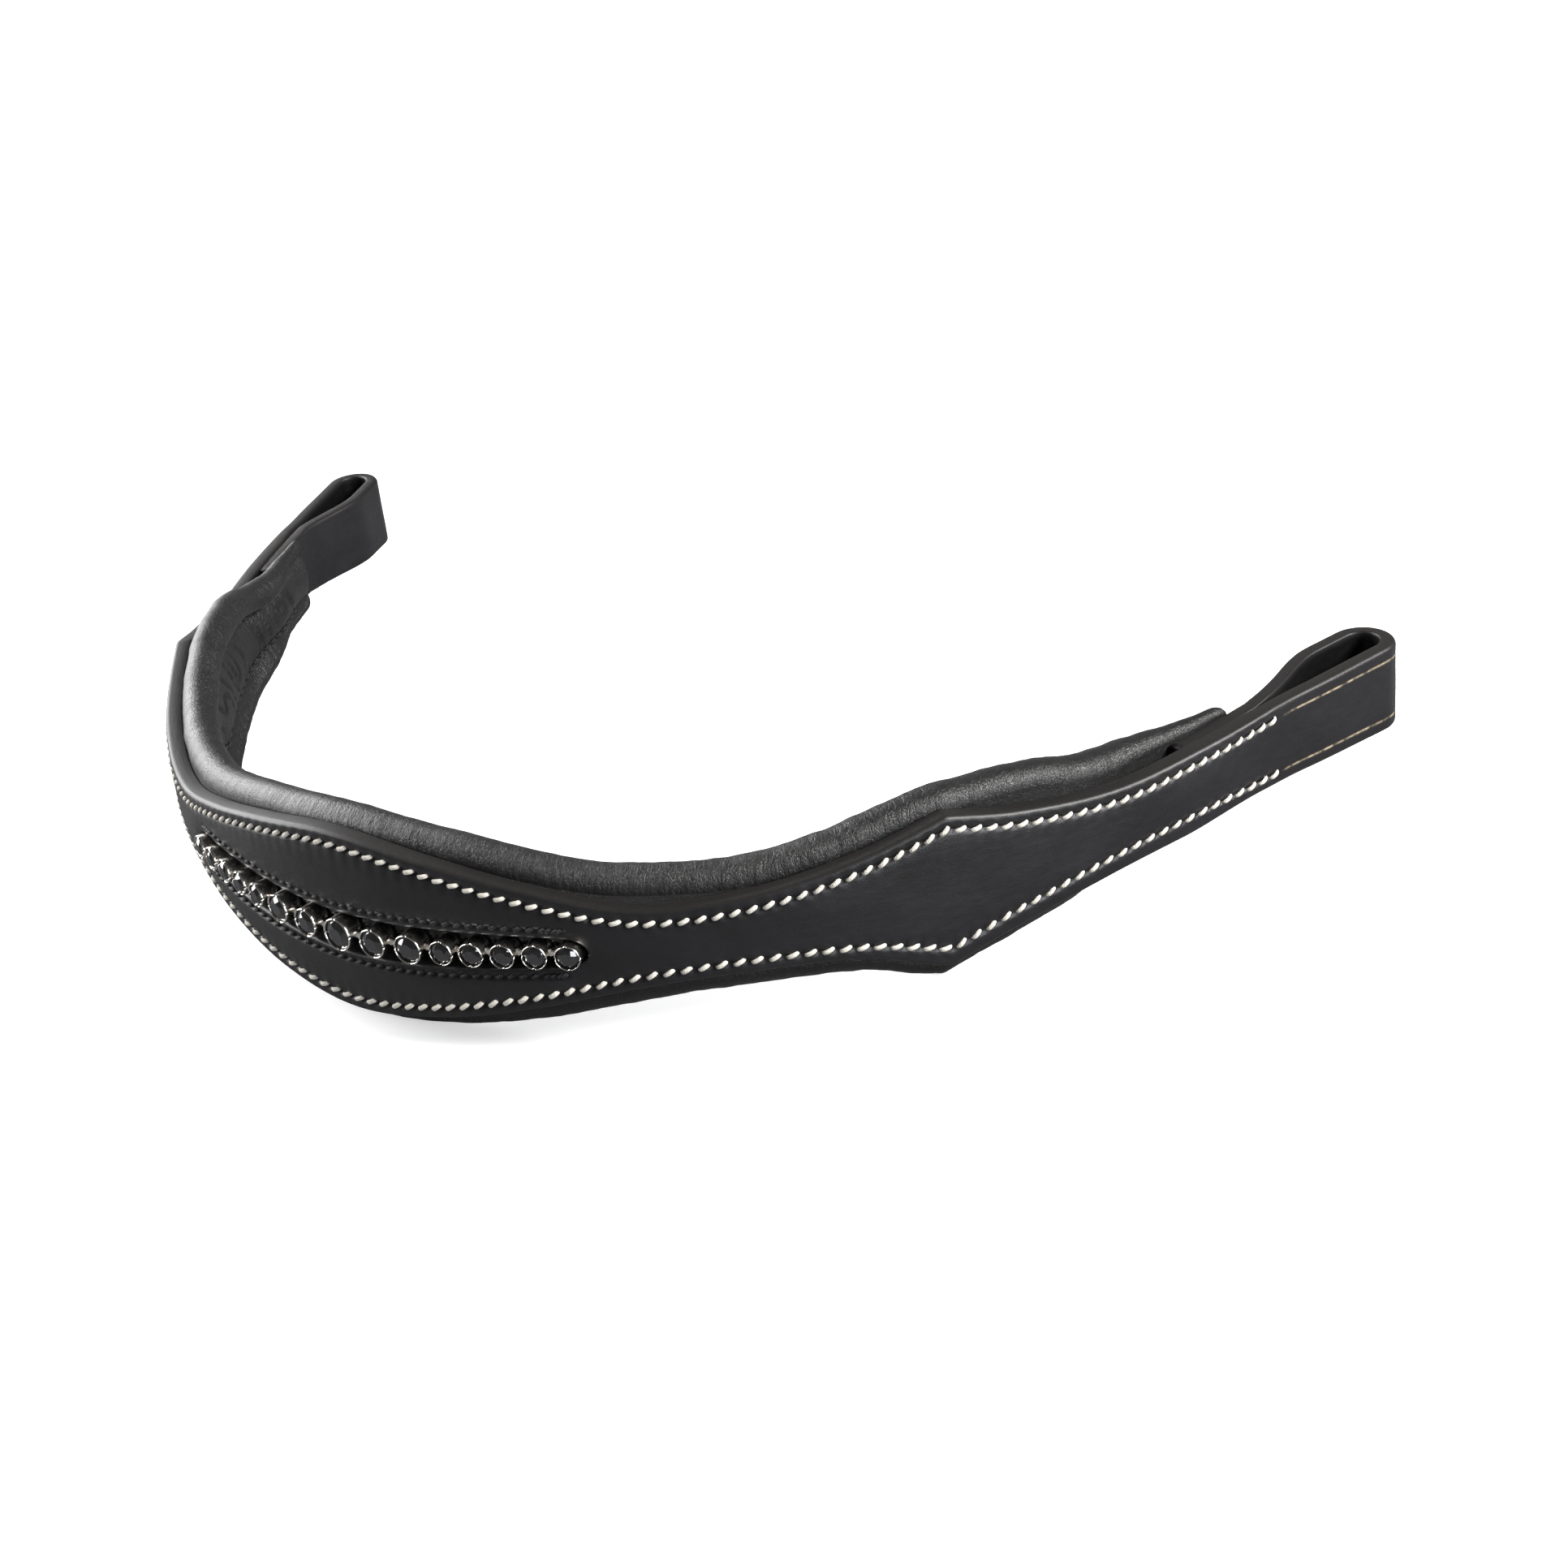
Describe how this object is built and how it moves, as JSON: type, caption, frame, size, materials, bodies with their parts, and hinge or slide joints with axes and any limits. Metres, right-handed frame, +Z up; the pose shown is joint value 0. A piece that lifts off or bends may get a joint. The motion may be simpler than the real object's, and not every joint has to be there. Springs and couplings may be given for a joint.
{
  "type": "padded browband",
  "caption": "Curved padded leather browband with folded end loops, contrast stitching and a black crystal chain inlay; it lies across a horse's forehead and holds the bridle's headpiece forward.",
  "frame": {"origin": "on the ground under the middle of the band's box, with the band standing on its lower edge", "axes": "+X along the band's width from loop to loop, +Y from the decorated outer face towards the loops, +Z up"},
  "size_m": [0.2868, 0.1575, 0.0426],
  "materials": {
    "bridle_leather": "smooth waxed black leather with bevelled, darkened edges",
    "patent_leather": "glossy black patent",
    "soft_leather": "soft fine-grained black lining leather",
    "foam": "soft padding, sealed inside the lining",
    "silver_metal": "bright plated metal",
    "black_crystal": "faceted jet black crystal",
    "white_thread": "waxed off-white thread",
    "black_thread": "black thread"
  },
  "bodies": {
    "root": {"front_strap": "bridle_leather", "right_loop": "bridle_leather", "left_loop": "bridle_leather", "inlay_panel": "patent_leather", "foam_core": "foam", "lining": "soft_leather", "setting_01": "silver_metal", "setting_02": "silver_metal", "setting_03": "silver_metal", "setting_04": "silver_metal", "setting_05": "silver_metal", "setting_06": "silver_metal", "setting_07": "silver_metal", "setting_08": "silver_metal", "setting_09": "silver_metal", "setting_10": "silver_metal", "setting_11": "silver_metal", "setting_12": "silver_metal", "setting_13": "silver_metal", "setting_14": "silver_metal", "setting_15": "silver_metal", "stone_01": "black_crystal", "stone_02": "black_crystal", "stone_03": "black_crystal", "stone_04": "black_crystal", "stone_05": "black_crystal", "stone_06": "black_crystal", "stone_07": "black_crystal", "stone_08": "black_crystal", "stone_09": "black_crystal", "stone_10": "black_crystal", "stone_11": "black_crystal", "stone_12": "black_crystal", "stone_13": "black_crystal", "stone_14": "black_crystal", "stone_15": "black_crystal", "chain_links": "silver_metal", "upper_white_thread": "white_thread", "lower_white_thread": "white_thread", "upper_window_thread": "black_thread", "lower_window_thread": "black_thread", "upper_back_thread": "black_thread", "lower_back_thread": "black_thread"}
  },
  "joints": []
}
